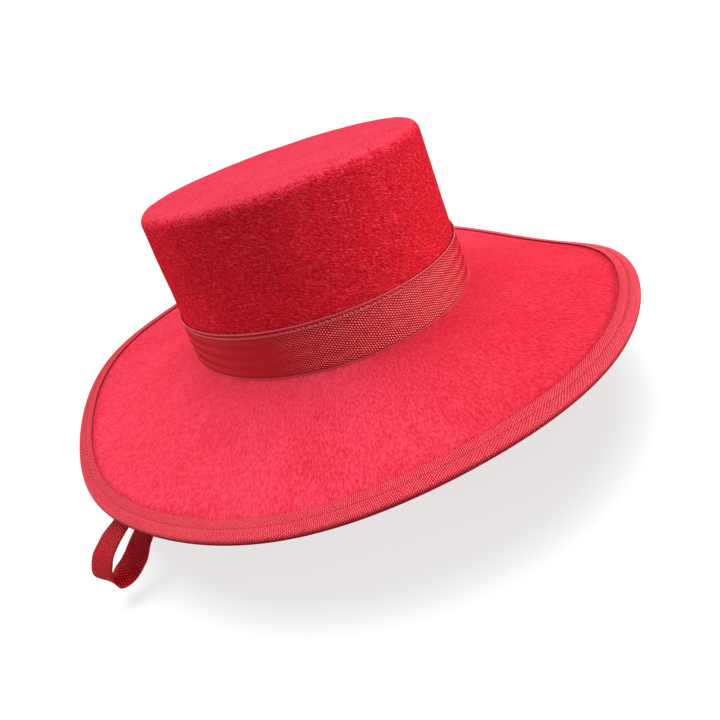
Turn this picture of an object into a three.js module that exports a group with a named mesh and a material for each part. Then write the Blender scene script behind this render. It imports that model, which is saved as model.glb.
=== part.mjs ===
// A cordobes hat: a felt cap with a straight flat-topped crown and a wide, lightly saddled brim,
// a ribbon band around the crown, a ribbon binding folded over the brim's edge and a chin strap.
// Millimetres. The origin is the middle of the head opening, where crown and brim meet.
// +Z runs up along the crown, the wearer faces -Y, and +X is the wearer's left.
import * as THREE from "three";

// ---- Driving dimensions ----

const feltThickness = 2.2;
const baseOval = { front: 102, side: 88 }; // outside of the crown where it meets the brim
const tipOval = { front: 95, side: 82 }; // the same section carried on up to the top
const crownHeight = 92;
const tipRadius = 7; // rounding between the crown's side and its top
const tipDome = 3; // rise of the top in its middle
const throatRadius = 3.7; // rounding inside, between the head opening and the brim

const brimCurl = 1.05; // power of the brim's fall from the crown to its edge

// The brim's level width, out to the edge of the binding, and the height of its edge. Both are
// sums of waves around the hat, counted from the front.
const brimWidths = [
  { turns: 0, cosine: 89.5, sine: 0 },
  { turns: 2, cosine: -2.5, sine: 2 },
];
const brimHeights = [
  { turns: 0, cosine: -17.5, sine: 0 },
  { turns: 1, cosine: -8, sine: -1 },
  { turns: 2, cosine: 10, sine: 0 },
  { turns: 3, cosine: 1, sine: 2 },
  { turns: 4, cosine: -2, sine: 0.5 },
  { turns: 6, cosine: 0, sine: -1.7 },
];

const ribbonThickness = 0.9;
const seatGap = 0.3; // room kept between pieces that touch
const bindingWidth = 10.7; // level width of the folded binding above the brim
const bindingUnder = 10.2; // and below it

const bandHeight = 27;
const bandFoot = 0.4;
// The band's outer face, from its lower edge up: a gathered line runs under the upper edge.
const bandFace = [
  { height: bandFoot, bulge: 0 },
  { height: 12, bulge: 0.1 },
  { height: 22, bulge: 0 },
  { height: 23.3, bulge: -0.3 },
  { height: 24.7, bulge: 0.2 },
  { height: bandHeight, bulge: 0.1 },
];

const strapWidth = 15;
const strapThickness = 1.2;
const strapBevel = 0.4;
// The strap's middle line, from its end sewn in at the right temple, out under the brim, round
// the loop that shows below the edge, and back under the head opening to the left temple.
// turn and tip set the direction across the strap: degrees from +Y towards +X, and up.
const strapRoute = [
  { x: -82.9, y: 0, z: 24, turn: 0, tip: 0 },
  { x: -83.6, y: 0, z: 13, turn: 0, tip: 0 },
  { x: -84.3, y: -1, z: 2, turn: 0, tip: 0 },
  { x: -91, y: -4, z: -10, turn: 0, tip: 0 },
  { x: -110, y: -11, z: -16.5, turn: -2, tip: 0 },
  { x: -135, y: -19, z: -22, turn: -4, tip: 1 },
  { x: -157, y: -26, z: -28.5, turn: -6, tip: 2 },
  { x: -174.5, y: -30, z: -36.5, turn: -9, tip: 4 },
  { x: -185, y: -30, z: -42.5, turn: -15, tip: 10 },
  { x: -192, y: -30, z: -49.5, turn: -25, tip: 13 },
  { x: -195.3, y: -30, z: -57.5, turn: -30, tip: 9 },
  { x: -192, y: -30, z: -63.2, turn: -27, tip: 14 },
  { x: -186, y: -30, z: -63.2, turn: -30, tip: 20 },
  { x: -178.5, y: -30, z: -59, turn: -35, tip: 12 },
  { x: -169.5, y: -30, z: -50.5, turn: -28, tip: 2 },
  { x: -158, y: -29, z: -42.5, turn: -20, tip: 0 },
  { x: -138, y: -26, z: -36.5, turn: -12, tip: 0 },
  { x: -100, y: -20, z: -32, turn: -6, tip: 0 },
  { x: -50, y: -11, z: -29.5, turn: -3, tip: 0 },
  { x: 0, y: -5, z: -28, turn: -1, tip: 0 },
  { x: 45, y: -2, z: -23.5, turn: 0, tip: 0 },
  { x: 72, y: -1, z: -14, turn: 0, tip: 0 },
  { x: 83, y: 0, z: -1, turn: 0, tip: 0 },
  { x: 83.6, y: 0, z: 13, turn: 0, tip: 0 },
  { x: 82.9, y: 0, z: 24, turn: 0, tip: 0 },
];

const slices = 60; // flat sides around every oval
const strapSteps = 84;

// ---- Materials ----

const felt = new THREE.MeshStandardMaterial({ color: 0xd3122f, roughness: 0.95, metalness: 0 });
const ribbon = new THREE.MeshStandardMaterial({ color: 0xa81426, roughness: 0.7, metalness: 0 });
const strapRibbon = new THREE.MeshStandardMaterial({ color: 0x9a0f20, roughness: 0.7, metalness: 0 });

// ---- Building surfaces ----

// Joins rings of equally many points into one surface. A ring of one point is a pole.
// The rings either end in poles or, with looped set, the last one joins the first.
function loft(name, material, rings, looped) {
  const positions = [];
  const starts = rings.map((ring) => {
    const start = positions.length / 3;
    ring.forEach((point) => positions.push(point.x, point.y, point.z));
    return start;
  });
  const index = [];
  const joints = looped ? rings.length : rings.length - 1;
  for (let k = 0; k < joints; k += 1) {
    const next = (k + 1) % rings.length;
    joinRings(index, starts[k], rings[k].length, starts[next], rings[next].length);
  }
  const geometry = new THREE.BufferGeometry();
  geometry.setAttribute("position", new THREE.Float32BufferAttribute(positions, 3));
  geometry.setIndex(index);
  geometry.computeVertexNormals();
  const mesh = new THREE.Mesh(geometry, material);
  mesh.name = name;
  return mesh;
}

function joinRings(index, startA, countA, startB, countB) {
  const count = Math.max(countA, countB);
  for (let i = 0; i < count; i += 1) {
    const j = (i + 1) % count;
    const a = startA + (countA === 1 ? 0 : i);
    const aNext = startA + (countA === 1 ? 0 : j);
    const b = startB + (countB === 1 ? 0 : i);
    const bNext = startB + (countB === 1 ? 0 : j);
    if (countA > 1) index.push(a, b, aNext);
    if (countB > 1) index.push(aNext, b, bNext);
  }
}

// A ring around the hat: place(angle) gives the point at each angle, counted from the front.
function ringOf(place) {
  return Array.from({ length: slices }, (_, i) => place((2 * Math.PI * i) / slices));
}

function spread(from, to, steps) {
  return Array.from({ length: steps + 1 }, (_, i) => THREE.MathUtils.lerp(from, to, i / steps));
}

// ---- The hat's two surfaces ----

// The level direction straight out of the hat, square to the base oval.
function outward(angle) {
  return new THREE.Vector3(
    Math.sin(angle) / baseOval.side,
    -Math.cos(angle) / baseOval.front,
    0,
  ).normalize();
}

// A point of the crown's side, moved outwards by out.
function crownPoint(angle, height, out) {
  const share = height / crownHeight;
  const side = THREE.MathUtils.lerp(baseOval.side, tipOval.side, share);
  const front = THREE.MathUtils.lerp(baseOval.front, tipOval.front, share);
  return new THREE.Vector3(side * Math.sin(angle), -front * Math.cos(angle), height)
    .addScaledVector(outward(angle), out);
}

function sumOfWaves(waves, angle) {
  return waves.reduce(
    (sum, wave) =>
      sum + wave.cosine * Math.cos(wave.turns * angle) + wave.sine * Math.sin(wave.turns * angle),
    0,
  );
}

// A point at a level distance of inset from the brim's edge, lifted square to its upper face,
// and pushed on along the face by past.
function brimPoint(angle, inset, lift, past = 0) {
  const width = sumOfWaves(brimWidths, angle);
  const reach = width - inset;
  const share = reach / width;
  const fall = sumOfWaves(brimHeights, angle);
  const slope = (fall * brimCurl * share ** (brimCurl - 1)) / width;
  const along = new THREE.Vector2(1, slope).normalize();
  const level = reach + past * along.x - lift * along.y;
  const height = fall * share ** brimCurl + past * along.y + lift * along.x;
  return crownPoint(angle, 0, 0).addScaledVector(outward(angle), level).setZ(height);
}

// ---- Felt body ----

const edgeRadius = feltThickness / 2;
const bindingRadius = edgeRadius + seatGap + ribbonThickness; // and the inset of the rim's middle
const brimInsets = [83, 73, 59, 43, 27, 13.5]; // from the crown outwards

// The rounded rim in steps from the upper face to the lower one.
function rimPoint(angle, radius, roll) {
  const lift = radius * Math.sin(roll) - edgeRadius;
  return brimPoint(angle, bindingRadius, lift, radius * Math.cos(roll));
}

// The rounded corner of the crown; inset is the distance in from the felt's outer face.
function cornerPoint(angle, inset, roll) {
  const radius = tipRadius - inset;
  const height = crownHeight - tipRadius;
  const point = crownPoint(angle, height, -tipRadius + radius * Math.cos(roll));
  return point.setZ(height + radius * Math.sin(roll));
}

// The domed top, at a share of the way out from its middle.
function topPoint(angle, inset, share) {
  const rim = cornerPoint(angle, inset, Math.PI / 2);
  const rise = tipDome * (1 - share * share);
  return new THREE.Vector3(rim.x * share, rim.y * share, rim.z + rise);
}

function throatPoint(angle, roll) {
  const centre = throatRadius - feltThickness;
  const out = centre - throatRadius * Math.cos(roll);
  const height = centre - throatRadius * Math.sin(roll);
  return crownPoint(angle, 0, out).setZ(height);
}

function makeFeltBody() {
  const quarter = Math.PI / 2;
  const topShares = [0.45, 0.8];
  const wallHeights = [28, 56];
  const rings = [[topPoint(0, 0, 0)]];
  topShares.forEach((share) => rings.push(ringOf((a) => topPoint(a, 0, share))));
  spread(quarter, 0, 4).forEach((roll) => rings.push(ringOf((a) => cornerPoint(a, 0, roll))));
  wallHeights.toReversed().forEach((z) => rings.push(ringOf((a) => crownPoint(a, z, 0))));
  rings.push(ringOf((a) => crownPoint(a, 0, 0)));
  brimInsets.forEach((inset) => rings.push(ringOf((a) => brimPoint(a, inset, 0))));
  spread(quarter, -quarter, 4).forEach((roll) =>
    rings.push(ringOf((a) => rimPoint(a, edgeRadius, roll))),
  );
  brimInsets.toReversed().forEach((inset) =>
    rings.push(ringOf((a) => brimPoint(a, inset, -feltThickness))),
  );
  spread(quarter, 0, 3).forEach((roll) => rings.push(ringOf((a) => throatPoint(a, roll))));
  wallHeights.forEach((z) => rings.push(ringOf((a) => crownPoint(a, z, -feltThickness))));
  spread(0, quarter, 3).forEach((roll) =>
    rings.push(ringOf((a) => cornerPoint(a, feltThickness, roll))),
  );
  topShares.toReversed().forEach((share) =>
    rings.push(ringOf((a) => topPoint(a, feltThickness, share))),
  );
  rings.push([topPoint(0, feltThickness, 0)]);
  return loft("felt_body", felt, rings, false);
}

// ---- Crown band ----

function makeCrownBand() {
  const inner = seatGap;
  const outer = seatGap + ribbonThickness;
  const rings = bandFace
    .toReversed()
    .map((row) => ringOf((a) => crownPoint(a, row.height, outer + row.bulge)));
  rings.push(ringOf((a) => crownPoint(a, bandFoot, inner)));
  rings.push(ringOf((a) => crownPoint(a, bandHeight, inner)));
  return loft("crown_band", ribbon, rings, true);
}

// ---- Brim binding ----

function makeBrimBinding() {
  const outer = bindingRadius;
  const inner = edgeRadius + seatGap;
  const rolls = spread(Math.PI / 2, -Math.PI / 2, 6);
  const outerTop = outer - edgeRadius;
  const innerTop = inner - edgeRadius;
  const rings = [
    ringOf((a) => brimPoint(a, bindingWidth, innerTop)),
    ringOf((a) => brimPoint(a, bindingWidth, outerTop)),
  ];
  rolls.forEach((roll) => rings.push(ringOf((a) => rimPoint(a, outer, roll))));
  rings.push(ringOf((a) => brimPoint(a, bindingUnder, -outerTop - feltThickness)));
  rings.push(ringOf((a) => brimPoint(a, bindingUnder, -innerTop - feltThickness)));
  rolls.toReversed().forEach((roll) => rings.push(ringOf((a) => rimPoint(a, inner, roll))));
  return loft("brim_binding", ribbon, rings, true);
}

// ---- Chin strap ----

function strapRing(route, facing, share) {
  const middle = route.getPoint(share);
  const tangent = route.getTangent(share);
  const angles = facing.getPoint(share);
  const turn = THREE.MathUtils.degToRad(angles.x);
  const tip = THREE.MathUtils.degToRad(angles.y);
  const across = new THREE.Vector3(
    Math.sin(turn) * Math.cos(tip),
    Math.cos(turn) * Math.cos(tip),
    Math.sin(tip),
  );
  across.addScaledVector(tangent, -across.dot(tangent)).normalize();
  const up = new THREE.Vector3().crossVectors(across, tangent);
  const half = strapWidth / 2;
  const flat = half - strapBevel;
  const thick = strapThickness / 2;
  const section = [
    [half, 0],
    [flat, thick],
    [-flat, thick],
    [-half, 0],
    [-flat, -thick],
    [flat, -thick],
  ];
  return section.map(([wide, high]) =>
    middle.clone().addScaledVector(across, wide).addScaledVector(up, high),
  );
}

function makeChinStrap() {
  const places = strapRoute.map((row) => new THREE.Vector3(row.x, row.y, row.z));
  const angles = strapRoute.map((row) => new THREE.Vector3(row.turn, row.tip, 0));
  const route = new THREE.CatmullRomCurve3(places);
  const facing = new THREE.CatmullRomCurve3(angles, false, "catmullrom", 0.5);
  const rings = [[places[0]]];
  spread(0, 1, strapSteps).forEach((share) => rings.push(strapRing(route, facing, share)));
  rings.push([places.at(-1)]);
  return loft("chin_strap", strapRibbon, rings, false);
}

const hat = new THREE.Group();
hat.add(makeFeltBody(), makeCrownBand(), makeBrimBinding(), makeChinStrap());

export default hat;
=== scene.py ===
import bisect
import math

import bmesh
import bpy
from mathutils import Matrix, Vector, noise


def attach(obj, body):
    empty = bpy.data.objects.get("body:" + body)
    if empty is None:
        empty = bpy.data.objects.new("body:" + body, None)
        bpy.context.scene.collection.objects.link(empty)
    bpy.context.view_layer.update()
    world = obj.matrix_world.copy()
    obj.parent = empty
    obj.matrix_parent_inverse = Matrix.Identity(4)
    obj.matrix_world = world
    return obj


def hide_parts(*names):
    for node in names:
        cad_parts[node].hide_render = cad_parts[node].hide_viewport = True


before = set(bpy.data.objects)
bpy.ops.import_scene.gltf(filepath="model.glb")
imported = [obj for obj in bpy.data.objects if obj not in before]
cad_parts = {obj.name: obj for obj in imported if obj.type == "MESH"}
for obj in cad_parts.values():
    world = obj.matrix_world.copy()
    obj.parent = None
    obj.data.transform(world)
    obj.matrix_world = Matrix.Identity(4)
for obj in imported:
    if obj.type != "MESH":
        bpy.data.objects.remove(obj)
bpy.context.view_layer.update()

# The hat's shape, in metres. Angles run round from the front, a quarter turn is the wearer's left.
hatShape = {
    "feltThickness": 0.0022,
    "baseFront": 0.102,       # half the crown's foot, front to back
    "baseSide": 0.088,
    "tipFront": 0.095,        # half the crown's top
    "tipSide": 0.082,
    "crownHeight": 0.092,
    "cornerRadius": 0.007,
    "tipDome": 0.003,
    "throatRadius": 0.0037,   # where the inside of the crown turns out under the brim
    "seatGap": 0.0003,        # room between pieces that touch
    "ribbonThickness": 0.0009,
    "brimCurl": 1.05,
    # turns around the hat, cosine part, sine part
    "brimWidth": ((0, 0.0895, 0.0), (2, -0.0025, 0.002)),
    "brimHeight": (
        (0, -0.0175, 0.0), (1, -0.008, -0.001), (2, 0.010, 0.0), (3, 0.001, 0.002),
        (4, -0.002, 0.0005), (6, 0.0, -0.0017),
    ),
}
fullTurn = 2 * math.pi
quarterTurn = math.pi / 2
ringSamples = 720             # points taken round a ring to measure it


def mix(start, end, share):
    return start + (end - start) * share


def spread(start, end, steps):
    return [mix(start, end, step / steps) for step in range(steps + 1)]


def easeBetween(low, high, value):
    share = min(max((value - low) / (high - low), 0.0), 1.0)
    return share * share * (3 - 2 * share)


def sumOfWaves(waves, angle):
    return sum(cosine * math.cos(turns * angle) + sine * math.sin(turns * angle)
               for turns, cosine, sine in waves)


# A power that keeps its sign, which squares an oval off.
def signedPower(value, power):
    return math.copysign(abs(value) ** power, value)


def outward(angle):
    x = math.sin(angle) / hatShape["baseSide"]
    y = -math.cos(angle) / hatShape["baseFront"]
    return Vector((x, y, 0)).normalized()


def crownPlace(angle, height, out):
    share = height / hatShape["crownHeight"]
    side = mix(hatShape["baseSide"], hatShape["tipSide"], share)
    front = mix(hatShape["baseFront"], hatShape["tipFront"], share)
    wall = Vector((side * math.sin(angle), -front * math.cos(angle), height))
    return wall + outward(angle) * out


def cornerPlace(angle, inset, roll):
    radius = hatShape["cornerRadius"] - inset
    height = hatShape["crownHeight"] - hatShape["cornerRadius"]
    place = crownPlace(angle, height, radius * math.cos(roll) - hatShape["cornerRadius"])
    place.z = height + radius * math.sin(roll)
    return place


def topPlace(angle, inset, share):
    rim = cornerPlace(angle, inset, quarterTurn)
    rise = hatShape["tipDome"] * (1 - share * share)
    return Vector((rim.x * share, rim.y * share, rim.z + rise))


# inset is level distance from the brim's edge, lift is square to its upper face
def brimPlace(angle, inset, lift, past=0.0):
    width = sumOfWaves(hatShape["brimWidth"], angle)
    fall = sumOfWaves(hatShape["brimHeight"], angle)
    share = max((width - inset) / width, 0.0)
    curl = hatShape["brimCurl"]
    slope = fall * curl * share ** (curl - 1) / width
    steep = math.hypot(1, slope)
    place = crownPlace(angle, 0, width - inset + (past - lift * slope) / steep)
    place.z = fall * share ** curl + (past * slope + lift) / steep
    return place


edgeRadius = hatShape["feltThickness"] / 2
rimInset = edgeRadius + hatShape["seatGap"] + hatShape["ribbonThickness"]


def rimPlace(angle, radius, roll):
    return brimPlace(angle, rimInset, radius * math.sin(roll) - edgeRadius, radius * math.cos(roll))


def throatPlace(angle, roll):
    centre = hatShape["throatRadius"] - hatShape["feltThickness"]
    place = crownPlace(angle, 0, centre - hatShape["throatRadius"] * math.cos(roll))
    place.z = centre - hatShape["throatRadius"] * math.sin(roll)
    return place


def newPiece(name, mesh, material):
    piece = bpy.data.objects.new(name, mesh)
    bpy.context.scene.collection.objects.link(piece)
    piece.data.materials.append(material)
    return piece


# A flat grid is bent to its place: each row gives the place for a share of the way round, and one
# that gives the same place for every share is a pole. looped joins the last row to the first.
# layPattern gives the UV for a row and a share, nap the direction attribute that the felt reads.
def bendSheet(name, rows, steps, looped=False, layPattern=None, nap=None):
    shape = bmesh.new()
    spans = len(rows) - (0 if looped else 1)
    bmesh.ops.create_grid(shape, x_segments=steps, y_segments=spans, size=0.5)
    shape.verts.ensure_lookup_table()
    cells = [(round((point.co.x + 0.5) * steps), round((point.co.y + 0.5) * spans))
             for point in shape.verts]
    if layPattern:
        uvLayer = shape.loops.layers.uv.new("weave")
        for face in shape.faces:
            for corner in face.loops:
                step, row = cells[corner.vert.index]
                corner[uvLayer].uv = layPattern(row, step / steps)
    napLayer = shape.verts.layers.float_vector.new("nap") if nap else None
    for point, (step, row) in zip(shape.verts, cells):
        share = step % steps / steps
        if nap:
            point[napLayer] = nap(row, share)
        point.co = rows[row % len(rows)](share)
    bmesh.ops.remove_doubles(shape, verts=shape.verts, dist=1e-6)
    bmesh.ops.recalc_face_normals(shape, faces=shape.faces)
    mesh = bpy.data.meshes.new(name)
    shape.to_mesh(mesh)
    shape.free()
    mesh.shade_smooth()
    return mesh


# The length run at each point of a line.
def runLengths(line):
    lengths = [0.0]
    for start, end in zip(line, line[1:]):
        lengths.append(lengths[-1] + (end - start).length)
    return lengths


# The span that a length along a line falls in, and how far in.
def spanAt(lengths, goal):
    start = min(bisect.bisect_right(lengths, goal) - 1, len(lengths) - 2)
    return start, (goal - lengths[start]) / (lengths[start + 1] - lengths[start])


def ringLengths(place):
    return runLengths([place(fullTurn * number / ringSamples) for number in range(ringSamples + 1)])


# Angles round a ring whose points lie evenly along it, so a ribbon's ribs keep their width.
def evenAngles(place, count):
    lengths = ringLengths(place)
    spans = [spanAt(lengths, lengths[-1] * number / count) for number in range(count + 1)]
    return [fullTurn * (start + part) / ringSamples for start, part in spans]


def addNode(tree, kind, **settings):
    made = tree.nodes.new(kind)
    for setting, value in settings.items():
        setattr(made, setting, value)
    return made


def plug(tree, value, socket):
    if isinstance(value, bpy.types.NodeSocket):
        tree.links.new(value, socket)
    else:
        socket.default_value = value


def calc(tree, operation, *values, clamp=False):
    made = addNode(tree, "ShaderNodeMath", operation=operation, use_clamp=clamp)
    for value, socket in zip(values, made.inputs):
        plug(tree, value, socket)
    return made.outputs[0]


def rampTo(tree, value, low, high, smooth=True):
    curve = "SMOOTHSTEP" if smooth else "LINEAR"
    made = addNode(tree, "ShaderNodeMapRange", interpolation_type=curve)
    plug(tree, value, made.inputs["Value"])
    made.inputs["From Min"].default_value = low
    made.inputs["From Max"].default_value = high
    return made.outputs["Result"]


def mixColours(tree, share, first, second, blend="MIX"):
    made = addNode(tree, "ShaderNodeMix", data_type="RGBA", blend_type=blend)
    plug(tree, share, made.inputs["Factor"])
    plug(tree, first, made.inputs[6])
    plug(tree, second, made.inputs[7])
    return made.outputs[2]


def speckle(tree, vector, scale, detail=2.0, distortion=0.0, rough=0.5):
    made = addNode(tree, "ShaderNodeTexNoise")
    plug(tree, vector, made.inputs["Vector"])
    plug(tree, scale, made.inputs["Scale"])
    made.inputs["Detail"].default_value = detail
    made.inputs["Roughness"].default_value = rough
    plug(tree, distortion, made.inputs["Distortion"])
    return made.outputs["Fac"]


def stretch(tree, vector, scale, turn=0.0):
    made = addNode(tree, "ShaderNodeMapping")
    plug(tree, vector, made.inputs["Vector"])
    made.inputs["Rotation"].default_value = (0, 0, turn)
    made.inputs["Scale"].default_value = scale
    return made.outputs["Vector"]


def splitUp(tree, vector):
    parts = addNode(tree, "ShaderNodeSeparateXYZ")
    plug(tree, vector, parts.inputs[0])
    return parts.outputs


# The angle round the hat, from X and Y of a place or the nap.
def angleRound(tree, parts):
    toFront = calc(tree, "MULTIPLY", parts["Y"], -1.0)
    return calc(tree, "ARCTAN2", parts["X"], toFront)


def startGroup(name, inputs, outputs):
    tree = bpy.data.node_groups.new(name, "ShaderNodeTree")
    for label, kind, value in inputs:
        made = tree.interface.new_socket(label, in_out="INPUT", socket_type=kind)
        if value is not None:
            made.default_value = value
    for label, kind in outputs:
        tree.interface.new_socket(label, in_out="OUTPUT", socket_type=kind)
    return tree, addNode(tree, "NodeGroupInput").outputs, addNode(tree, "NodeGroupOutput").inputs


def useGroup(tree, group, **values):
    made = addNode(tree, "ShaderNodeGroup", node_tree=group)
    for label, value in values.items():
        plug(tree, value, made.inputs[label])
    return made.outputs


def startMaterial(name, finish):
    material = bpy.data.materials.new(name)
    material.use_nodes = True
    tree = material.node_tree
    surface = tree.nodes["Principled BSDF"]
    for label, value in finish.items():
        surface.inputs[label].default_value = value
    return material, tree, surface


def addRelief(tree, surface, height, distance):
    bump = addNode(tree, "ShaderNodeBump")
    bump.inputs["Distance"].default_value = distance
    plug(tree, height, bump.inputs["Height"])
    plug(tree, bump.outputs["Normal"], surface.inputs["Normal"])


floatKind = "NodeSocketFloat"
vectorKind = "NodeSocketVector"

# Hairs lie in layers: where each starts in the noise, then its length, width and slant
hairLayers = ((0.0, 1.0, 1.0, 0.0), (7.3, 1.5, 1.3, 0.35), (15.1, 0.7, 0.8, -0.4))


# Short hairs lying one way. U runs with the hairs and V across them, in metres. Crinkle is the
# whole crumpled surface, Fibres the lighter hairs on top of it.
def makeFibreGroup():
    tree, given, result = startGroup(
        "feltFibres",
        (("Vector", vectorKind, None), ("Length", floatKind, 0.003), ("Width", floatKind, 0.001),
         ("Curl", floatKind, 0.6)),
        (("Crinkle", floatKind), ("Fibres", floatKind), ("Height", floatKind)),
    )
    parts = splitUp(tree, given["Vector"])
    layers = []
    for start, longer, wider, slant in hairLayers:
        across = calc(tree, "MULTIPLY_ADD", parts["X"], slant, parts["Y"])
        length = calc(tree, "MULTIPLY", given["Length"], longer)
        width = calc(tree, "MULTIPLY", given["Width"], wider)
        lying = addNode(tree, "ShaderNodeCombineXYZ")
        plug(tree, calc(tree, "DIVIDE", parts["X"], length), lying.inputs["X"])
        plug(tree, calc(tree, "DIVIDE", across, width), lying.inputs["Y"])
        plug(tree, start, lying.inputs["Z"])
        layers.append(speckle(tree, lying.outputs["Vector"], 1.0, 1.0, given["Curl"]))
    first, second, third = layers
    crinkle = calc(tree, "ADD", first, calc(tree, "ADD", second, third))
    crinkle = calc(tree, "MULTIPLY", crinkle, 1 / len(layers))
    highest = calc(tree, "MAXIMUM", first, calc(tree, "MAXIMUM", second, third))
    fibres = rampTo(tree, highest, 0.57, 0.70)              # only the crests show as hairs
    plug(tree, rampTo(tree, crinkle, 0.395, 0.605, False), result["Crinkle"])
    plug(tree, fibres, result["Fibres"])
    plug(tree, calc(tree, "MULTIPLY_ADD", fibres, 0.5, crinkle), result["Height"])
    return tree


# Ribs across a ribbon. U counts ribs along it and V runs across it in the same unit. The threads
# that cross the ribs step down by Lean from rib to rib, and each shows on a rib as a short dash.
def makeWeaveGroup():
    tree, given, result = startGroup(
        "grosgrainWeave",
        (("UV", vectorKind, None), ("Slant", floatKind, 0.0), ("Threads", floatKind, 0.6),
         ("Lean", floatKind, 1.0), ("Wander", floatKind, 0.25)),
        (("Rib", floatKind), ("Thread", floatKind), ("Glint", floatKind), ("Height", floatKind)),
    )
    parts = splitUp(tree, given["UV"])
    across = parts["Y"]
    sway = calc(tree, "SUBTRACT", speckle(tree, given["UV"], 0.22, 2.0), 0.5)
    along = calc(tree, "MULTIPLY_ADD", across, given["Slant"], parts["X"])
    along = calc(tree, "MULTIPLY_ADD", sway, given["Wander"], along)
    wave = calc(tree, "COSINE", calc(tree, "MULTIPLY", along, fullTurn))
    rib = calc(tree, "MULTIPLY_ADD", wave, 0.5, 0.5)
    ribTop = calc(tree, "POWER", rib, 0.7)                  # broader crests than gaps
    stepped = calc(tree, "MULTIPLY_ADD", along, given["Lean"], across)
    stepped = calc(tree, "MULTIPLY_ADD", sway, 1.2, stepped)
    crossing = calc(tree, "MULTIPLY", calc(tree, "MULTIPLY", stepped, given["Threads"]), fullTurn)
    thread = calc(tree, "MULTIPLY_ADD", calc(tree, "COSINE", crossing), 0.5, 0.5)
    patchy = rampTo(tree, speckle(tree, given["UV"], 0.45, 3.0), 0.12, 0.55)
    dash = calc(tree, "MULTIPLY", rampTo(tree, rib, 0.30, 0.90), rampTo(tree, thread, 0.4, 0.9))
    plug(tree, ribTop, result["Rib"])
    plug(tree, thread, result["Thread"])
    plug(tree, calc(tree, "MULTIPLY", dash, patchy), result["Glint"])
    plug(tree, calc(tree, "MULTIPLY_ADD", thread, 0.6, ribTop), result["Height"])
    return tree


# Slow light and dark drifts, as dye and brushing leave them.
def makeDriftGroup():
    tree, given, result = startGroup(
        "unevenDye",
        (("Vector", vectorKind, None), ("Scale", floatKind, 25.0)),
        (("Drift", floatKind),),
    )
    slow = speckle(tree, given["Vector"], given["Scale"], 2.0)
    quick = speckle(tree, given["Vector"], calc(tree, "MULTIPLY", given["Scale"], 5.0), 2.0)
    both = calc(tree, "MULTIPLY_ADD", quick, 0.4, calc(tree, "MULTIPLY", slow, 0.6))
    plug(tree, rampTo(tree, both, 0.3, 0.7), result["Drift"])
    return tree


feltFibres = makeFibreGroup()
grosgrainWeave = makeWeaveGroup()
unevenDye = makeDriftGroup()

feltLook = {
    # the side's red is deep in the crinkle's hollows and pale on the hairs, partly painted shade and painted
    # highlight
    "sideDeep": (0.36, 0.0, 0.004, 1),
    "sideBright": (1.0, 0.013, 0.034, 1),
    "sideFibre": (1.0, 0.12, 0.15, 1),
    "fibreShare": 0.45,
    "hairLength": 0.0015,
    "hairWidth": 0.00048,
    "hairSlope": 0.72,        # how steeply the side's hairs run down to the wearer's left
    "sideDrift": 0.14,        # share of the side's tone that drifts slowly
    "sideDriftScale": 30.0,
    "edgeFade": (-0.0018, 0.0020),     # the side's look begins here, about the corner's middle
    "edgeWander": 0.006,      # how far that line wanders
    "edgeWanderScale": 260.0,
    "tuftReach": 0.013,       # how far the hairs break it up
    # the tip and brim are a pinker red than the side, partly painted sheen on the faces that look up
    "faceDeep": (0.71, 0.020, 0.048, 1),
    "faceBright": (0.87, 0.082, 0.132, 1),
    "faceDrift": 0.08,
    "faceDriftScale": 22.0,
    "mottleScale": 1200.0,
    "streak": (0.64, 0.012, 0.028, 1),
    "streakShare": 0.35,
    "streakScale": 1000.0,
    "tipStretch": (0.6, 1.1, 1.1),     # the nap on the tip, then on the brim
    "brimStretch": (1.2, 1.2, 0.36),
    "brushing": math.radians(38),      # how far the tip was brushed round from +X
    "brimTint": (0.965, 0.90, 0.94, 1),
    "paintedShadeAt": math.radians(34),        # the angle round the brim where painted shade darkens it most
    "paintedShadeTint": (0.90, 0.67, 0.63, 1),
    "relief": 0.0005,
    "finish": {"Roughness": 0.95, "Specular IOR Level": 0.0, "Sheen Weight": 0.07,
               "Sheen Roughness": 0.5, "Sheen Tint": (1.0, 0.18, 0.30, 1)},
}


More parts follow.
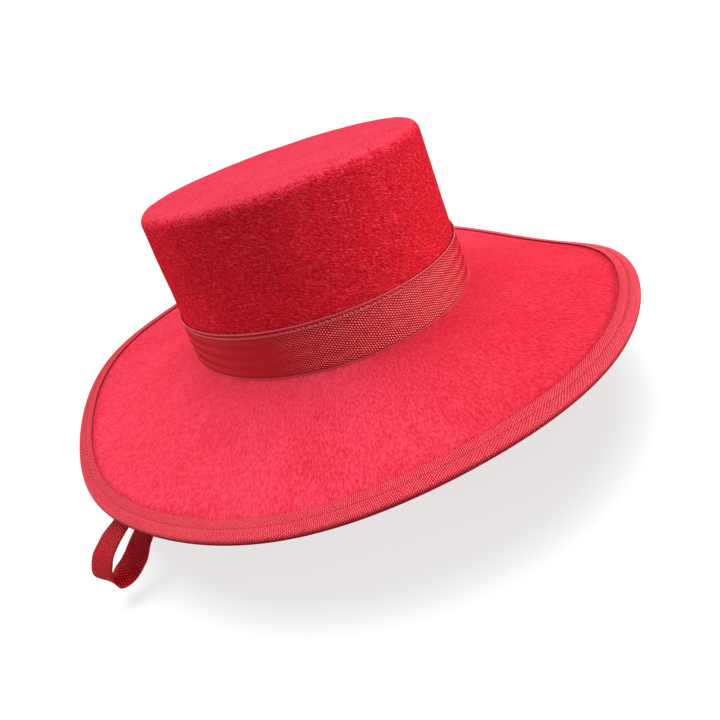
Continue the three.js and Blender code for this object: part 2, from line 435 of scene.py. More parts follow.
def makeRedFelt(tipEnd, wallStart, wallEnd):
    material, tree, surface = startMaterial("redFelt", feltLook["finish"])
    place = addNode(tree, "ShaderNodeTexCoord").outputs["Object"]
    nap = addNode(tree, "ShaderNodeAttribute", attribute_name="nap").outputs["Vector"]
    napParts = splitUp(tree, nap)
    run = napParts["Z"]
    # the crown's side: pale hairs on the crests over a deep red in the crinkle's hollows, partly painted
    # highlight and painted shade
    angle = angleRound(tree, napParts)
    roundWall = calc(tree, "MULTIPLY", angle, hatShape["baseSide"])
    lying = addNode(tree, "ShaderNodeCombineXYZ")
    plug(tree, roundWall, lying.inputs["X"])
    plug(tree, calc(tree, "MULTIPLY_ADD", roundWall, -feltLook["hairSlope"], run), lying.inputs["Y"])
    hairs = useGroup(tree, feltFibres, Vector=lying.outputs["Vector"], Curl=1.0,
                     Length=feltLook["hairLength"], Width=feltLook["hairWidth"])
    drift = useGroup(tree, unevenDye, Vector=place, Scale=feltLook["sideDriftScale"])["Drift"]
    crumpled = calc(tree, "MULTIPLY", hairs["Crinkle"], 1 - feltLook["sideDrift"])
    grain = calc(tree, "MULTIPLY_ADD", drift, feltLook["sideDrift"], crumpled)
    side = mixColours(tree, grain, feltLook["sideDeep"], feltLook["sideBright"])
    fibres = calc(tree, "MULTIPLY", hairs["Fibres"], feltLook["fibreShare"])
    side = mixColours(tree, fibres, side, feltLook["sideFibre"])

    pastWall = rampTo(tree, run, wallEnd - 0.001, wallEnd + 0.001)
    wander = speckle(tree, place, feltLook["edgeWanderScale"], 3.0, 0.8)
    wander = calc(tree, "SUBTRACT", wander, 0.5)
    raggedRun = calc(tree, "MULTIPLY_ADD", wander, feltLook["edgeWander"], run)
    tufts = calc(tree, "SUBTRACT", hairs["Height"], 0.5)
    raggedRun = calc(tree, "MULTIPLY_ADD", tufts, -feltLook["tuftReach"], raggedRun)
    before, past = feltLook["edgeFade"]
    onWall = calc(tree, "MULTIPLY", rampTo(tree, raggedRun, wallStart + before, wallStart + past),
                  calc(tree, "SUBTRACT", 1.0, pastWall))

    # the tip and the brim: brushed smooth, short darker streaks along the nap, and a pinker red that is
    # partly painted sheen
    chosen = addNode(tree, "ShaderNodeMix", data_type="VECTOR")
    onBrim = rampTo(tree, run, tipEnd, wallEnd)
    plug(tree, calc(tree, "GREATER_THAN", onBrim, 0.5), chosen.inputs["Factor"])
    plug(tree, stretch(tree, place, feltLook["tipStretch"], feltLook["brushing"]), chosen.inputs[4])
    plug(tree, stretch(tree, nap, feltLook["brimStretch"]), chosen.inputs[5])
    brushed = chosen.outputs[1]
    streaks = rampTo(tree, speckle(tree, brushed, feltLook["streakScale"], 1.5, 0.5), 0.46, 0.27)
    mottle = speckle(tree, brushed, feltLook["mottleScale"], 2.0, 0.3, 0.7)
    slow = useGroup(tree, unevenDye, Vector=place, Scale=feltLook["faceDriftScale"])["Drift"]
    tone = calc(tree, "MULTIPLY_ADD", slow, feltLook["faceDrift"], mottle)
    face = mixColours(tree, rampTo(tree, tone, 0.38, 0.70, False), feltLook["faceDeep"],
                      feltLook["faceBright"])
    streaked = calc(tree, "MULTIPLY", streaks, feltLook["streakShare"])
    face = mixColours(tree, streaked, face, feltLook["streak"])
    face = mixColours(tree, pastWall, face, feltLook["brimTint"], "MULTIPLY")
    # painted shade: the brim is darker and deeper red on one side
    towards = calc(tree, "COSINE", calc(tree, "SUBTRACT", angle, feltLook["paintedShadeAt"]))
    paintedShadeShare = calc(tree, "MULTIPLY", rampTo(tree, towards, 0.35, 0.95), pastWall)
    face = mixColours(tree, paintedShadeShare, face, feltLook["paintedShadeTint"], "MULTIPLY")

    plug(tree, mixColours(tree, onWall, face, side), surface.inputs["Base Color"])
    height = addNode(tree, "ShaderNodeMix")
    faceHeight = calc(tree, "MULTIPLY", speckle(tree, brushed, feltLook["streakScale"]), 0.7)
    plug(tree, onWall, height.inputs["Factor"])
    plug(tree, faceHeight, height.inputs[2])
    plug(tree, hairs["Height"], height.inputs[3])
    addRelief(tree, surface, height.outputs[0], feltLook["relief"])
    return material


ribbonLook = {
    "finish": {"Specular IOR Level": 0.05},
    "roughness": 0.6,
    "threadShine": 0.15,      # how much smoother the threads that catch the light are
    "relief": 0.00022,
    "drift": 0.15,
    "driftScale": 60.0,
    "driftShade": 0.72,
}


# look holds the colours of the ribs, the gaps between them, darker partly as painted shade, and the
# threads that catch the light, a painted highlight that is brightest round shineAt, an angle round
# the hat. Each line of painted shade along the ribbon, in its seams, grooves and folds, is given by its
# middle, half width and strength.
def makeRibbon(name, look):
    material, tree, surface = startMaterial(name, ribbonLook["finish"])
    weaveUv = addNode(tree, "ShaderNodeUVMap", uv_map="weave").outputs["UV"]
    across = splitUp(tree, weaveUv)["Y"]
    place = addNode(tree, "ShaderNodeTexCoord").outputs["Object"]
    weave = useGroup(tree, grosgrainWeave, UV=weaveUv, Slant=look["slant"], Threads=look["threads"],
                     Lean=look["lean"])
    ribs = calc(tree, "MULTIPLY", weave["Rib"], 1 - look["twill"])
    raised = calc(tree, "MULTIPLY_ADD", weave["Thread"], look["twill"], ribs)
    # the gaps between ribs are darker, partly as painted shade
    colour = mixColours(tree, raised, look["gap"], look["top"])
    glint = calc(tree, "MULTIPLY", weave["Glint"], look["glintShare"])
    if "shineAt" in look:
        angle = angleRound(tree, splitUp(tree, place))
        towards = calc(tree, "COSINE", calc(tree, "SUBTRACT", angle, look["shineAt"]))
        shining = rampTo(tree, towards, *look["shineFade"])
        shining = calc(tree, "MULTIPLY_ADD", shining, 1 - look["shineLeast"], look["shineLeast"])
        glint = calc(tree, "MULTIPLY", glint, shining)
    # paler threads as a painted highlight
    colour = mixColours(tree, glint, colour, look["glint"])
    drift = useGroup(tree, unevenDye, Vector=place, Scale=ribbonLook["driftScale"])["Drift"]
    darker = tuple(ribbonLook["driftShade"] * value for value in look["top"][:3]) + (1,)
    colour = mixColours(tree, calc(tree, "MULTIPLY", drift, ribbonLook["drift"]), colour, darker)
    # lines of painted shade in the ribbon's seams, grooves and folds
    for middle, half, strength in look["paintedShadeLines"]:
        away = calc(tree, "SUBTRACT", across, middle / look["ribPitch"])
        half /= look["ribPitch"]
        line = rampTo(tree, calc(tree, "ABSOLUTE", away), 1.3 * half, 0.5 * half)
        colour = mixColours(tree, calc(tree, "MULTIPLY", line, strength), colour, look["line"])
    plug(tree, colour, surface.inputs["Base Color"])
    rough = calc(tree, "MULTIPLY_ADD", weave["Glint"], -ribbonLook["threadShine"],
                 ribbonLook["roughness"])
    plug(tree, rough, surface.inputs["Roughness"])
    addRelief(tree, surface, weave["Height"], ribbonLook["relief"])
    return material


cordLook = {
    "dark": (0.40, 0.004, 0.014, 1),
    "pale": (0.94, 0.16, 0.20, 1),
    "relief": 0.0001,
    "finish": {"Roughness": 0.7, "Specular IOR Level": 0.15, "Sheen Weight": 0.03,
               "Sheen Roughness": 0.4, "Sheen Tint": (1.0, 0.5, 0.5, 1)},
}


# Twisted thread: U counts twists along it, V once round it.
def makeCordThread():
    material, tree, surface = startMaterial("cordThread", cordLook["finish"])
    weaveUv = addNode(tree, "ShaderNodeUVMap", uv_map="weave").outputs["UV"]
    weave = useGroup(tree, grosgrainWeave, UV=weaveUv, Slant=1.0, Threads=0.0, Lean=0.0,
                     Wander=0.1)
    fine = speckle(tree, stretch(tree, weaveUv, (2, 6, 1)), 2.0, 2.0)
    paler = calc(tree, "MULTIPLY_ADD", fine, 0.6, 0.6)
    share = calc(tree, "MULTIPLY", weave["Rib"], paler, clamp=True)
    plug(tree, mixColours(tree, share, cordLook["dark"], cordLook["pale"]), surface.inputs["Base Color"])
    addRelief(tree, surface, weave["Rib"], cordLook["relief"])
    return material


feltBody = {
    "steps": 288,
    "topShares": (0.08, 0.2, 0.34, 0.48, 0.6, 0.7, 0.79, 0.87, 0.94),
    "cornerRows": 10,
    "wallRows": 26,
    "brimRows": 26,
    "unevenWall": 0.0003,     # how far the felt wanders in and out
    "unevenBrim": 0.0002,
    "unevenScale": 38.0,
    "wallFree": (0.028, 0.040),        # the wall is even below the first height, free past the next
    "brimFree": (0.04, 0.12),          # shares of the brim, and the same towards its edge
    "brimHeld": (0.80, 0.86),
    "napRadius": 0.14,        # the nap's own ring, so its streaks run out from the crown
}


# The rows run from the tip's middle over the outside, round the rim and back up the inside. The
# numbers of three are told too: the tip's last, the corner's middle and the wall's last.
def makeFeltRows():
    thick = hatShape["feltThickness"]
    wallTop = hatShape["crownHeight"] - hatShape["cornerRadius"]

    def wander(place):
        amount = noise.noise(place * feltBody["unevenScale"])
        return amount + 0.5 * noise.noise(place * feltBody["unevenScale"] * 3.1)

    def wall(height, inset):
        def at(angle):
            outer = crownPlace(angle, height, 0)
            free = easeBetween(*feltBody["wallFree"], height)
            return outer + outward(angle) * (wander(outer) * free * feltBody["unevenWall"] - inset)
        return at

    def corner(inset, roll):
        def at(angle):
            place = cornerPlace(angle, inset, roll)
            shift = outward(angle) * math.cos(roll) + Vector((0, 0, math.sin(roll)))
            return place + shift * wander(cornerPlace(angle, 0, roll)) * feltBody["unevenWall"]
        return at

    def top(inset, share):
        def at(angle):
            place = topPlace(angle, inset, share)
            place.z += wander(topPlace(angle, 0, share)) * feltBody["unevenWall"]
            return place
        return at

    def brim(share, lift):
        def at(angle):
            inset = mix(sumOfWaves(hatShape["brimWidth"], angle), rimInset, share)
            free = easeBetween(*feltBody["brimFree"], share)
            free *= 1 - easeBetween(*feltBody["brimHeld"], share)
            place = brimPlace(angle, inset, lift)
            place.z += wander(brimPlace(angle, inset, 0)) * free * feltBody["unevenBrim"]
            return place
        return at

    def rim(roll):
        return lambda angle: rimPlace(angle, edgeRadius, roll)

    def throat(roll):
        return lambda angle: throatPlace(angle, roll)

    wallHeights = spread(wallTop, 0, feltBody["wallRows"])[1:]
    brimShares = spread(0, 1, feltBody["brimRows"])[1:-1]
    rows = [top(0, 0.0)]
    rows += [top(0, share) for share in feltBody["topShares"]]
    tipEndRow = len(rows)
    cornerRow = tipEndRow + feltBody["cornerRows"] // 2
    rows += [corner(0, roll) for roll in spread(quarterTurn, 0, feltBody["cornerRows"])]
    rows += [wall(height, 0) for height in wallHeights]
    wallEndRow = len(rows) - 1
    rows += [brim(share, 0) for share in brimShares]
    rows += [rim(roll) for roll in spread(quarterTurn, -quarterTurn, 8)]
    rows += [brim(share, -thick) for share in reversed(brimShares[2:])]
    rows += [throat(roll) for roll in spread(quarterTurn, 0, 6)]
    rows += [wall(height, thick) for height in reversed(wallHeights[:-2])]
    rows += [corner(thick, roll) for roll in spread(0, quarterTurn, 6)]
    rows += [top(thick, share) for share in reversed(feltBody["topShares"])]
    rows.append(top(thick, 0.0))
    return rows, (tipEndRow, cornerRow, wallEndRow)


def makeHatFelt():
    rows, marks = makeFeltRows()
    runs = runLengths([row(0.5) for row in rows])
    tipEnd, wallStart, wallEnd = (runs[number] for number in marks)
    radius = feltBody["napRadius"]

    def nap(row, share):
        angle = share * fullTurn
        return Vector((radius * math.sin(angle), -radius * math.cos(angle), runs[row]))

    turned = [lambda share, row=row: row(share * fullTurn) for row in rows]
    mesh = bendSheet("hatFelt", turned, feltBody["steps"], nap=nap)
    return newPiece("hatFelt", mesh, makeRedFelt(tipEnd, wallStart, wallEnd))


hatFelt = makeHatFelt()
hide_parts("felt_body")
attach(hatFelt, "root")
print("felt body made")


# A ribbon sewn round the hat. The rows run round its section: a place function with a depth for
# the ribs, the share of that depth, the distance across the ribbon and a lean along it.
# ribPoints points make one rib.
def makeRibbonRing(name, sections, look, guide, material):
    length = ringLengths(guide)[-1]
    ribs = round(length / look["ribPitch"])
    steps = ribs * look["ribPoints"]
    angles = evenAngles(guide, steps)
    unit = length / ribs

    def rowOf(place, ribShare, lean):
        def at(share):
            step = round(share * steps)
            crest = math.cos(fullTurn * step / look["ribPoints"])
            return place(angles[step % steps] + lean, ribShare * look["ribDepth"] * crest)
        return at

    rows = [rowOf(place, ribShare, lean / length * fullTurn)
            for place, ribShare, across, lean in sections]
    crossed = [across / unit for place, ribShare, across, lean in sections]
    crossed.append(crossed[0] + 1)

    def pattern(row, share):
        return (share * ribs, crossed[row])

    mesh = bendSheet(name, rows, steps, looped=True, layPattern=pattern)
    return newPiece(name, mesh, material)


crownBand = {
    "height": 0.027,
    "ribPitch": 0.00128,
    "ribPoints": 4,
    "ribDepth": 0.00007,
    "measuredAt": 0.013,      # the height where the ribs have that pitch
    # height, how far the face stands out, how far the gathered crease sinks it, share of a rib
    "face": (
        (0.00045, -0.00035, 0.0, 0.0), (0.0006, -0.0001, 0.0, 0.2), (0.0011, 0.0, 0.0, 0.6),
        (0.0020, 0.0, 0.0, 1.0), (0.0060, 0.00005, 0.0, 1.0), (0.012, 0.0001, 0.0, 1.0),
        (0.0180, 0.00005, 0.0, 1.0), (0.0205, 0.0, 0.00004, 1.0), (0.0215, 0.0, 0.00014, 0.9),
        (0.0224, 0.0, 0.00040, 0.5), (0.0232, 0.0, 0.00065, 0.2), (0.0238, 0.0, 0.00072, 0.2),
        (0.0244, 0.0, 0.00040, 0.4), (0.0252, 0.0, 0.00030, 0.4), (0.0260, -0.00020, 0.00030, 0.3),
        (0.0266, -0.00030, 0.00025, 0.1), (0.0270, -0.00045, 0.0, 0.0),
    ),
    "back": (0.0268, 0.0135, 0.0006),  # heights of the side against the felt
    "creaseAt": math.radians(-60),     # where the crease is deepest
    "creaseLeast": 0.3,
    "slant": 0.2,
    "threads": 0.89,
    "lean": 0.46,
    "twill": 0.55,
    # the angle round the band where the painted highlight on the threads is strongest
    "shineAt": math.radians(-9),
    "shineFade": (0.72, 0.97),
    "shineLeast": 0.12,
    "gap": (0.16, 0.0, 0.004, 1),
    "top": (0.78, 0.013, 0.030, 1),
    "glint": (1.0, 0.52, 0.48, 1),
    "glintShare": 0.72,
    # the colour of the lines of painted shade, then where they lie: above the foot, between the two cords at
    # the top and in the crease
    "line": (0.22, 0.001, 0.004, 1),
    "paintedShadeLines": ((0.0012, 0.0004, 0.6), (0.0262, 0.0004, 0.6), (0.0235, 0.0007, 0.15)),
}


def creaseShare(angle):
    nearness = 0.5 + 0.5 * math.cos(angle - crownBand["creaseAt"])
    return mix(crownBand["creaseLeast"], 1, nearness ** 2)


def makeCrownBand():
    face = hatShape["seatGap"] + hatShape["ribbonThickness"]

    def outerRow(height, bulge, crease):
        return lambda angle, depth: crownPlace(
            angle, height, face + bulge - crease * creaseShare(angle) + depth)

    def innerRow(height):
        return lambda angle, depth: crownPlace(angle, height, hatShape["seatGap"])

    sections = [(outerRow(height, bulge, crease), ribShare, height, 0.0)
                for height, bulge, crease, ribShare in crownBand["face"]]
    sections += [(innerRow(height), 0.0, 2 * crownBand["height"] - height, 0.0)
                 for height in crownBand["back"]]
    return makeRibbonRing("crownBand", sections, crownBand,
                          lambda angle: crownPlace(angle, crownBand["measuredAt"], face),
                          makeRibbon("bandGrosgrain", crownBand))


# The ribbon's woven edges and the cord inside its gathered top. twist is the length of one twist,
# and sinks how far the cord goes into the face where the crease runs out.
bandEdges = {
    "bandTopCord": {"height": 0.02715, "out": 0.00098, "radius": 0.00044, "twist": 0.0015, "sinks": 0.0},
    "bandInnerCord": {"height": 0.0249, "out": 0.00116, "radius": 0.00044, "twist": 0.0015, "sinks": 0.0024},
    "bandFootCord": {"height": 0.00062, "out": 0.00125, "radius": 0.0002, "twist": 0.0011, "sinks": 0.0},
}
cordShape = {"twistPoints": 4, "sides": 8, "plyDepth": 0.22}


# A two-ply cord round the crown: rows are stations along it, steps go round its section.
def makeBandCord(name, size, material):
    def middleAt(angle):
        sunk = size["sinks"] * (1 - creaseShare(angle))
        return crownPlace(angle, size["height"], size["out"] - sunk)

    twistPoints = cordShape["twistPoints"]
    count = round(ringLengths(middleAt)[-1] / size["twist"]) * twistPoints
    angles = evenAngles(middleAt, count)

    def rowOf(station):
        away = outward(angles[station])
        middle = middleAt(angles[station])
        turned = fullTurn * station / twistPoints

        def at(share):
            turn = share * fullTurn
            radius = size["radius"] * (1 + cordShape["plyDepth"] * math.cos(2 * turn - turned))
            return middle + away * radius * math.cos(turn) + Vector((0, 0, radius * math.sin(turn)))
        return at

    def pattern(row, share):
        return (row / twistPoints, share)

    rows = [rowOf(station) for station in range(count)]
    mesh = bendSheet(name, rows, cordShape["sides"], looped=True, layPattern=pattern)
    return newPiece(name, mesh, material)


crownBandPiece = makeCrownBand()
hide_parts("crown_band")
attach(crownBandPiece, "root")
cordThread = makeCordThread()
for cordName, cordSize in bandEdges.items():
    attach(makeBandCord(cordName, cordSize, cordThread), "root")
print("crown band made")


brimBinding = {
    "width": 0.0107,
    "under": 0.0102,
    "ribPitch": 0.00086,
    "ribPoints": 2,
    "ribDepth": 0.00007,
    "measuredAt": 0.005,      # the distance from the brim's edge where the ribs have that pitch
    # distance from the inner edge, drop below the face, share of the ribs' depth
    "face": (
        (0.0, 0.00045, 0.0), (0.0001, 0.00018, 0.3), (0.0005, 0.0, 1.0), (0.0020, 0.0, 1.0),
        (0.0036, 0.0, 1.0), (0.0062, 0.0, 1.0),
    ),
    "grooveAt": 0.0047,       # from the inner edge
    "grooveDepth": 0.00035,
    "grooveHalf": 0.0005,
    "grooveLip": 0.00008,     # how far the face has dropped at the groove's sides
    "faceLean": 0.0005,       # how far the ribs lean along the edge, away from the groove
    "foldLean": 0.0008,
    "underEdge": 0.0004,      # how far the edge beneath turns in
    "lean": 0.6,
    "slant": 0.0,
    "threads": 0.78,
    "twill": 0.4,
    "glintShare": 0.56,
    "gap": (0.50, 0.007, 0.024, 1),
    "top": (0.93, 0.043, 0.084, 1),
    "glint": (1.0, 0.44, 0.44, 1),
    # the colour of the lines of painted shade, then where they lie: along the inner edge by the felt, in the
    # groove and under the rolled edge
    "line": (0.28, 0.002, 0.008, 1),
    "paintedShadeLines": ((0.0, 0.0004, 0.45), (0.0047, 0.0003, 0.3), (0.0134, 0.0030, 0.85)),
}


def makeBrimBinding():
    outer = rimInset
    inner = edgeRadius + hatShape["seatGap"]
    outerTop = outer - edgeRadius
    innerTop = inner - edgeRadius
    thick = hatShape["feltThickness"]
    width = brimBinding["width"]
    under = brimBinding["under"]
    groove = brimBinding["grooveAt"]
    half = brimBinding["grooveHalf"]
    lip = brimBinding["grooveLip"]
    foldLean = brimBinding["foldLean"]

    def face(inset, lift):
        return lambda angle, depth: brimPlace(angle, inset, lift + depth)

    def underFace(inset, lift):
        return lambda angle, depth: brimPlace(angle, inset, lift - depth)

    def roll(radius, turn):
        return lambda angle, depth: rimPlace(angle, radius + depth, turn)

    faceRows = [*brimBinding["face"], (groove - half, lip, 0.8),
                (groove, brimBinding["grooveDepth"], 0.2), (groove + half, lip, 0.8)]
    sections = []
    for across, drop, ribShare in sorted(faceRows):
        lean = brimBinding["faceLean"] * abs(across - groove) / groove
        sections.append((face(width - across, outerTop - drop), ribShare, across, lean))
    for turn in spread(quarterTurn, -quarterTurn, 8):
        across = width - outer + outer * (quarterTurn - turn)
        sections.append((roll(outer, turn), 0.4, across, foldLean))
    foldEnd = width - outer + outer * math.pi
    below = -outerTop - thick
    for inset in (0.006, under - 0.0005):
        sections.append((underFace(inset, below), 1.0, foldEnd + inset - outer, foldLean))
    sections.append((underFace(under, below + brimBinding["underEdge"]), 0.0,
                     foldEnd + under - outer, foldLean))
    # the side against the felt is never seen, so its weave only has to run on
    sections.append((underFace(under - 0.0003, -innerTop - thick), 0.0, 0.032, foldLean))
    for turn in spread(-quarterTurn, quarterTurn, 4):
        sections.append((roll(inner, turn), 0.0, 0.040 - 0.002 * turn, foldLean / 2))
    sections.append((face(width - 0.0003, innerTop), 0.0, 0.052, 0.0))
    return makeRibbonRing("brimBinding", sections, brimBinding,
                          lambda angle: brimPlace(angle, brimBinding["measuredAt"], 0),
                          makeRibbon("bindingGrosgrain", brimBinding))


brimBindingPiece = makeBrimBinding()
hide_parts("brim_binding")
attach(brimBindingPiece, "root")
print("brim binding made")


chinStrap = {
    "width": 0.015,
    "thickness": 0.0012,
    "ribPitch": 0.00115,
    "ribPoints": 4,
    "ribDepth": 0.00012,
    "sides": 24,
    "sideRound": 0.6,         # powers that square off the strap's section
    "faceFlat": 0.3,
    "underShift": 20,         # the weave's start on the underside, in ribs
    "slant": 0.0,
    "threads": 0.6,
    "lean": 0.8,
    "twill": 0.3,
    "glintShare": 0.20,
    "paintedShadeLines": (),
    # x, y, z of the middle, then the turn and tip of the direction across it, in degrees
    "route": (
        (-0.0829, 0, 0.024, 0, 0), (-0.0836, 0, 0.013, 0, 0), (-0.0843, -0.001, 0.002, 0, 0),
        (-0.091, -0.004, -0.010, 0, 0), (-0.110, -0.011, -0.0165, -2, 0),
        (-0.135, -0.019, -0.022, -4, 1), (-0.157, -0.026, -0.0285, -6, 2),
        (-0.1745, -0.030, -0.0365, -9, 4), (-0.185, -0.030, -0.0425, -15, 10),
        (-0.192, -0.030, -0.0495, -25, 13), (-0.1953, -0.030, -0.0575, -30, 9),
        (-0.192, -0.030, -0.0632, -27, 14), (-0.186, -0.030, -0.0632, -30, 20),
        (-0.1785, -0.030, -0.059, -35, 12), (-0.1695, -0.030, -0.0505, -28, 2),
        (-0.158, -0.029, -0.0425, -20, 0), (-0.138, -0.026, -0.0365, -12, 0),
        (-0.100, -0.020, -0.032, -6, 0), (-0.050, -0.011, -0.0295, -3, 0),
        (0, -0.005, -0.028, -1, 0), (0.045, -0.002, -0.0235, 0, 0),
        (0.072, -0.001, -0.014, 0, 0), (0.083, 0, -0.001, 0, 0),
        (0.0836, 0, 0.013, 0, 0), (0.0829, 0, 0.024, 0, 0),
    ),
    "spanPoints": 40,         # points between two of the route's
    "reach": 3,               # points to each side that settle its direction
    "gap": (0.17, 0.0, 0.003, 1),
    "top": (0.66, 0.009, 0.022, 1),
    "glint": (1.0, 0.25, 0.26, 1),
}


# The centripetal curve through the route's points.
def smoothRoute(points, perSpan):
    ends = [points[0] * 2 - points[1], *points, points[-1] * 2 - points[-2]]
    fine = []
    for number in range(1, len(ends) - 2):
        before, start, end, after = ends[number - 1:number + 3]
        first, middle, last = (math.sqrt((b - a).length)
                               for a, b in ((before, start), (start, end), (end, after)))
        leaving = ((start - before) / first - (end - before) / (first + middle)
                   + (end - start) / middle) * middle
        arriving = ((end - start) / middle - (after - start) / (middle + last)
                    + (after - end) / last) * middle
        for t in spread(0, 1, perSpan)[:-1]:
            fine.append(start * (2 * t ** 3 - 3 * t ** 2 + 1) + leaving * (t ** 3 - 2 * t ** 2 + t)
                        + end * (3 * t ** 2 - 2 * t ** 3) + arriving * (t ** 3 - t ** 2))
    fine.append(points[-1])
    return fine


def makeChinStrap():
    perSpan = chinStrap["spanPoints"]
    reach = chinStrap["reach"]
    ribPoints = chinStrap["ribPoints"]
    places = smoothRoute([Vector(row[:3]) for row in chinStrap["route"]], perSpan)
    turns = [Vector(row[3:]) for row in chinStrap["route"]]
    facing = []
    for start, end in zip(turns, turns[1:]):
        facing += [start.lerp(end, easeBetween(0, perSpan, number)) for number in range(perSpan)]
    facing.append(turns[-1])
    lengths = runLengths(places)
    stations = round(lengths[-1] / chinStrap["ribPitch"]) * ribPoints
    half = chinStrap["width"] / 2
    thick = chinStrap["thickness"] / 2
    print("chin strap is", round(lengths[-1] * 1000), "mm long")

    def stationAt(number):
        start, part = spanAt(lengths, lengths[-1] * number / stations)
        middle = places[start].lerp(places[start + 1], part)
        before = places[max(start - reach, 0)]
        after = places[min(start + reach + 1, len(places) - 1)]
        tangent = (after - before).normalized()
        turn, tip = (math.radians(value) for value in facing[start].lerp(facing[start + 1], part))
        across = Vector((math.sin(turn) * math.cos(tip), math.cos(turn) * math.cos(tip), math.sin(tip)))
        across = (across - tangent * across.dot(tangent)).normalized()
        return middle, across, across.cross(tangent)

    def wideAt(share):
        return signedPower(math.cos(share * fullTurn), chinStrap["sideRound"])

    def rowOf(number):
        middle, across, up = stationAt(number)
        crest = math.cos(fullTurn * number / ribPoints) * chinStrap["ribDepth"]

        def at(share):
            wide = wideAt(share)
            flat = signedPower(math.sin(share * fullTurn), chinStrap["faceFlat"])
            depth = crest * easeBetween(1.0, 0.86, abs(wide))       # no ribs on the woven edges
            return middle + across * wide * half + up * flat * (thick + depth)
        return at

    def pole(number):
        middle = stationAt(number)[0]
        return lambda share: middle

    rows = [pole(0), *(rowOf(number) for number in range(stations + 1)), pole(stations)]

    def pattern(row, share):
        shift = chinStrap["underShift"] if share > 0.5 else 0
        return ((row - 1) / ribPoints, wideAt(share) * half / chinStrap["ribPitch"] + shift)

    mesh = bendSheet("chinStrap", rows, chinStrap["sides"], layPattern=pattern)
    return newPiece("chinStrap", mesh, makeRibbon("strapGrosgrain", chinStrap))


chinStrapPiece = makeChinStrap()
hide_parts("chin_strap")
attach(chinStrapPiece, "root")
print("chin strap made")


stitchLook = {
    "thread": (0.40, 0.004, 0.012, 1),
    "threadPale": (0.78, 0.040, 0.070, 1),
    "plyScale": 2500.0,
    "halfThick": 0.00020,
    "sides": 6,
    "stations": 8,            # points along one stitch
    "dip": 0.0005,            # how deep the thread passes through the cloth
    "lineSamples": 400,
}
grooveStitches = {"pitch": 0.0034, "lift": -0.00006}
strapStitches = {"pitch": 0.0025, "halfWidth": 0.0056, "low": 0.0145, "high": 0.0228, "corner": 0.0008}


def makeStitchThread():
    material, tree, surface = startMaterial("stitchThread", cordLook["finish"])
    place = addNode(tree, "ShaderNodeTexCoord").outputs["Object"]
    plies = rampTo(tree, speckle(tree, place, stitchLook["plyScale"]), 0.35, 0.65)
    colour = mixColours(tree, plies, stitchLook["thread"], stitchLook["threadPale"])
    plug(tree, colour, surface.inputs["Base Color"])
    return material


# One thread run round a closed line: it lies on the cloth for a stitch and dips into it between.
# placeAt gives the line for a share of the way round and a lift off the cloth.
def makeStitches(name, placeAt, pitch, material):
    stations = stitchLook["stations"]
    length = runLengths([placeAt(share, 0) for share in spread(0, 1, stitchLook["lineSamples"])])[-1]
    count = round(length / pitch) * stations
    step = 1 / count

    def rowOf(station):
        share = station / count
        along = (placeAt(share + step, 0) - placeAt(share - step, 0)).normalized()
        away = (placeAt(share, 0.001) - placeAt(share, 0)).normalized()
        across = away.cross(along)
        wave = math.cos(fullTurn * station / stations)
        middle = placeAt(share, -easeBetween(0.35, -0.75, wave) * stitchLook["dip"])

        def at(turnShare):
            turn = turnShare * fullTurn
            return middle + (across * math.cos(turn) + away * math.sin(turn)) * stitchLook["halfThick"]
        return at

    rows = [rowOf(station) for station in range(count)]
    mesh = bendSheet(name, rows, stitchLook["sides"], looped=True)
    return newPiece(name, mesh, material)


def makeGrooveStitches(material):
    inset = brimBinding["width"] - brimBinding["grooveAt"]
    middle = rimInset - edgeRadius - brimBinding["grooveDepth"] + grooveStitches["lift"]
    angles = evenAngles(lambda angle: brimPlace(angle, inset, middle), ringSamples)

    def placeAt(share, lift):
        number = (share % 1) * ringSamples
        low = min(int(number), ringSamples - 1)
        return brimPlace(mix(angles[low], angles[low + 1], number - low), inset, middle + lift)

    return makeStitches("bindingStitches", placeAt, grooveStitches["pitch"], material)


# A box of stitches holds each end of the strap to the inside of the crown.
def makeStrapStitches(name, side, material):
    wide = strapStitches["halfWidth"]
    low = strapStitches["low"]
    high = strapStitches["high"]
    corner = strapStitches["corner"]
    centres = ((wide - corner, low + corner), (wide - corner, high - corner),
               (corner - wide, high - corner), (corner - wide, low + corner))
    line = []
    for number, (y, z) in enumerate(centres):
        for turn in spread(-quarterTurn, 0, 4):
            angle = turn + number * quarterTurn
            line.append(Vector((0, y + corner * math.cos(angle), z + corner * math.sin(angle))))
    line.append(line[0])
    lengths = runLengths(line)
    top, foot = chinStrap["route"][:2]

    def placeAt(share, lift):
        start, part = spanAt(lengths, (share % 1) * lengths[-1])
        place = line[start].lerp(line[start + 1], part)
        x = mix(-foot[0], -top[0], (place.z - foot[2]) / (top[2] - foot[2]))
        place.x = side * (x - chinStrap["thickness"] / 2 - lift)
        return place

    return makeStitches(name, placeAt, strapStitches["pitch"], material)


stitchThread = makeStitchThread()
for stitchPiece in (makeGrooveStitches(stitchThread),
                    makeStrapStitches("strapStitchesRight", -1, stitchThread),
                    makeStrapStitches("strapStitchesLeft", 1, stitchThread)):
    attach(stitchPiece, "root")
print("stitches made")


studio = {
    "floorHeight": -0.080,
    "floorSize": 40.0,
    "floorColour": (0.42, 0.465, 0.46, 1),
    "floorGlow": 0.62,
    "floorBounce": 0.32,      # share of the floor's light that reaches the hat
    "skySeen": 1.1,
    "skyFill": 0.17,
    "sunStrength": 2.72,
    "sunSpread": 45.0,
    "sunFrom": (0.09, 0.14, 0.97),
    # two soft boxes: where each stands, its side and its power
    "boxes": (((0.78, -1.22, 0.06), 0.8, 31.0), ((-1.25, 0.70, 0.08), 0.8, 19.0)),
}


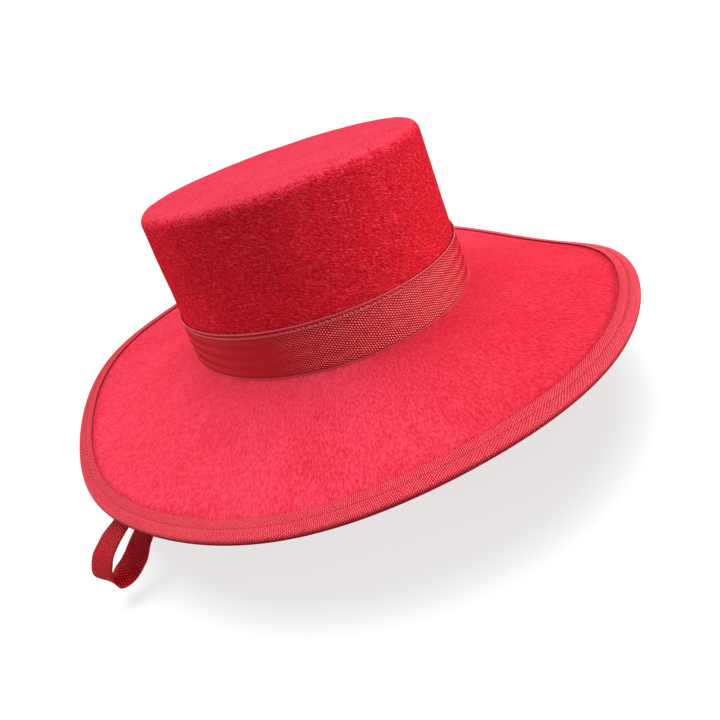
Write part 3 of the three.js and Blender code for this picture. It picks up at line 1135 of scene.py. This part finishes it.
def makeFloor():
    shape = bmesh.new()
    bmesh.ops.create_grid(shape, x_segments=4, y_segments=4, size=studio["floorSize"] / 2,
                          matrix=Matrix.Translation((0, 0, studio["floorHeight"])))
    mesh = bpy.data.meshes.new("floor")
    shape.to_mesh(mesh)
    shape.free()
    floor = bpy.data.objects.new("floor", mesh)
    bpy.context.scene.collection.objects.link(floor)
    material, tree, surface = startMaterial(
        "paleFloor", {"Roughness": 1.0, "Specular IOR Level": 0.0, "Emission Strength": 1.0})
    seen = addNode(tree, "ShaderNodeLightPath").outputs["Is Camera Ray"]
    kept = calc(tree, "MULTIPLY_ADD", seen, 1 - studio["floorBounce"], studio["floorBounce"])
    dark = (0, 0, 0, 1)
    glow = (studio["floorGlow"],) * 3 + (1,)
    plug(tree, mixColours(tree, kept, dark, studio["floorColour"]), surface.inputs["Base Color"])
    plug(tree, mixColours(tree, kept, dark, glow), surface.inputs["Emission Color"])
    mesh.materials.append(material)


def makeSky():
    world = bpy.data.worlds.new("softStudio")
    bpy.context.scene.world = world
    world.use_nodes = True
    tree = world.node_tree
    sky = tree.nodes["Background"]
    sky.inputs["Color"].default_value = (1, 1, 1, 1)
    seen = addNode(tree, "ShaderNodeLightPath").outputs["Is Camera Ray"]
    strength = calc(tree, "MULTIPLY_ADD", seen, studio["skySeen"] - studio["skyFill"],
                    studio["skyFill"])
    plug(tree, strength, sky.inputs["Strength"])


# A lamp stands at its place and shines at the hat from the side shineFrom gives.
def makeLamp(lamp, shineFrom, place):
    stand = bpy.data.objects.new(lamp.name, lamp)
    bpy.context.scene.collection.objects.link(stand)
    stand.location = place
    stand.rotation_euler = Vector(shineFrom).to_track_quat("Z", "Y").to_euler()


def makeLights():
    sun = bpy.data.lights.new("softKey", "SUN")
    sun.energy = studio["sunStrength"]
    sun.angle = math.radians(studio["sunSpread"])
    makeLamp(sun, studio["sunFrom"], (0, 0, 0))
    for number, (place, size, power) in enumerate(studio["boxes"]):
        box = bpy.data.lights.new(f"softBox{number}", "AREA")
        box.size = size
        box.energy = power
        makeLamp(box, place, place)


makeFloor()
makeSky()
makeLights()

cameraView = {
    "lens": 27.212,
    "sensor": 36,
    "nearest": 0.01,
    "place": (-0.156062, -0.308290, 0.127793),
    "right": (0.748205, -0.585777, -0.311536),
    "up": (0.513807, 0.214507, 0.830656),
    "ahead": (0.419753, 0.781570, -0.461472),
}


def makeCamera():
    lens = bpy.data.cameras.new("camera")
    lens.lens = cameraView["lens"]
    lens.sensor_width = cameraView["sensor"]
    lens.clip_start = cameraView["nearest"]
    camera = bpy.data.objects.new("camera", lens)
    bpy.context.scene.collection.objects.link(camera)
    back = -Vector(cameraView["ahead"])
    turned = Matrix((cameraView["right"], cameraView["up"], back)).transposed()
    camera.matrix_world = Matrix.Translation(cameraView["place"]) @ turned.to_4x4()
    bpy.context.scene.camera = camera


makeCamera()
bpy.context.scene.view_settings.view_transform = "Standard"
print("floor, light and camera made")
